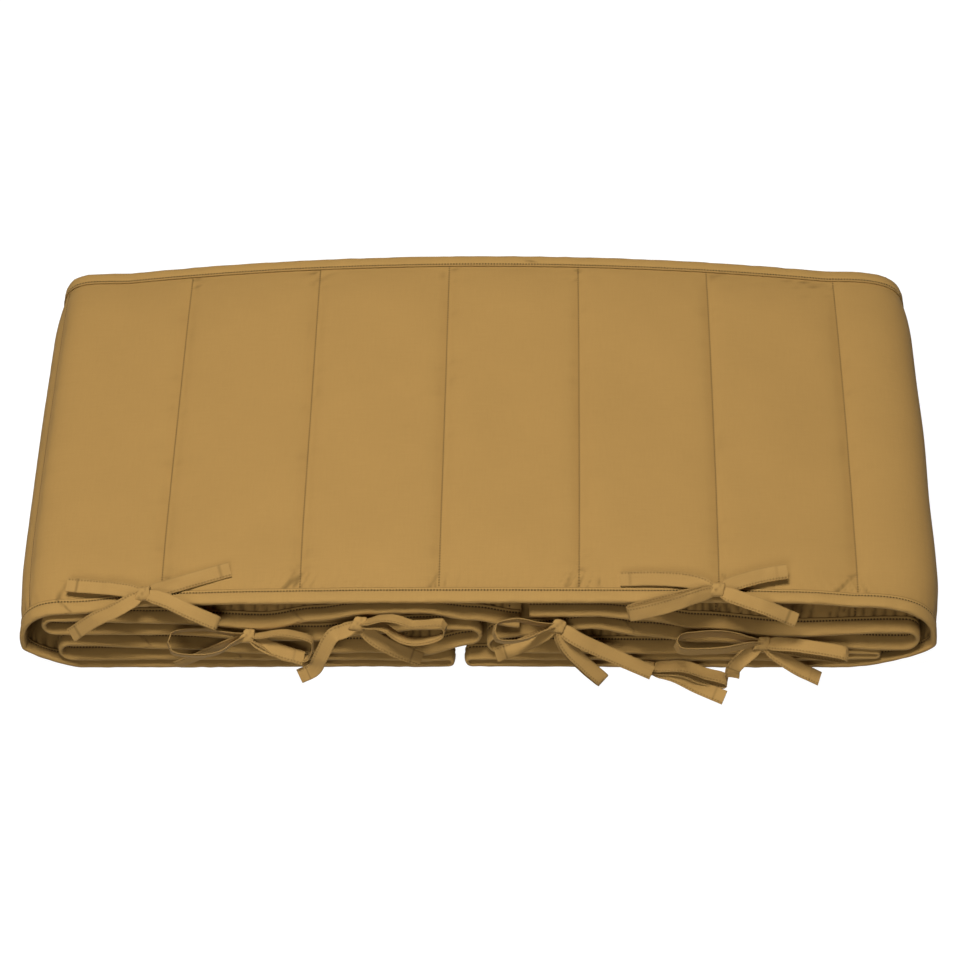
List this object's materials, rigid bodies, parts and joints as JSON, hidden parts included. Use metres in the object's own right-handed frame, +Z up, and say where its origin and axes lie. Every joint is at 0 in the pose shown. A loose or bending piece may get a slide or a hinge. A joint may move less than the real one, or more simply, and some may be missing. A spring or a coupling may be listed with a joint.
{
  "type": "folded quilted crib bumper with tied bows",
  "caption": "Long quilted cotton strip for the inside of a cot, bound at its edges and folded flat in even layers, with fabric ties tied in bows along its front edge",
  "frame": {"origin": "middle of the footprint, on the surface that the folded bumper lies on", "axes": "+X along the folded strip, to the right as seen from the front; +Y from the tied front edge to the back edge; +Z up"},
  "size_m": [0.6236, 0.336, 0.0881],
  "materials": {
    "quilted_cotton": "matt plain-woven cotton, mustard brown",
    "binding_cotton": "matt plain-woven cotton strip, mustard brown",
    "tie_cotton": "matt plain-woven cotton ribbon, mustard brown"
  },
  "bodies": {
    "root": {"pad": "quilted_cotton", "binding_front": "binding_cotton", "binding_back": "binding_cotton", "binding_end_left": "binding_cotton", "binding_end_right": "binding_cotton", "tie_bow_1": "tie_cotton", "tie_bow_2": "tie_cotton", "tie_bow_3": "tie_cotton", "tie_bow_4": "tie_cotton", "tie_bow_5": "tie_cotton", "tie_bow_6": "tie_cotton", "tie_bow_7": "tie_cotton"}
  },
  "joints": []
}
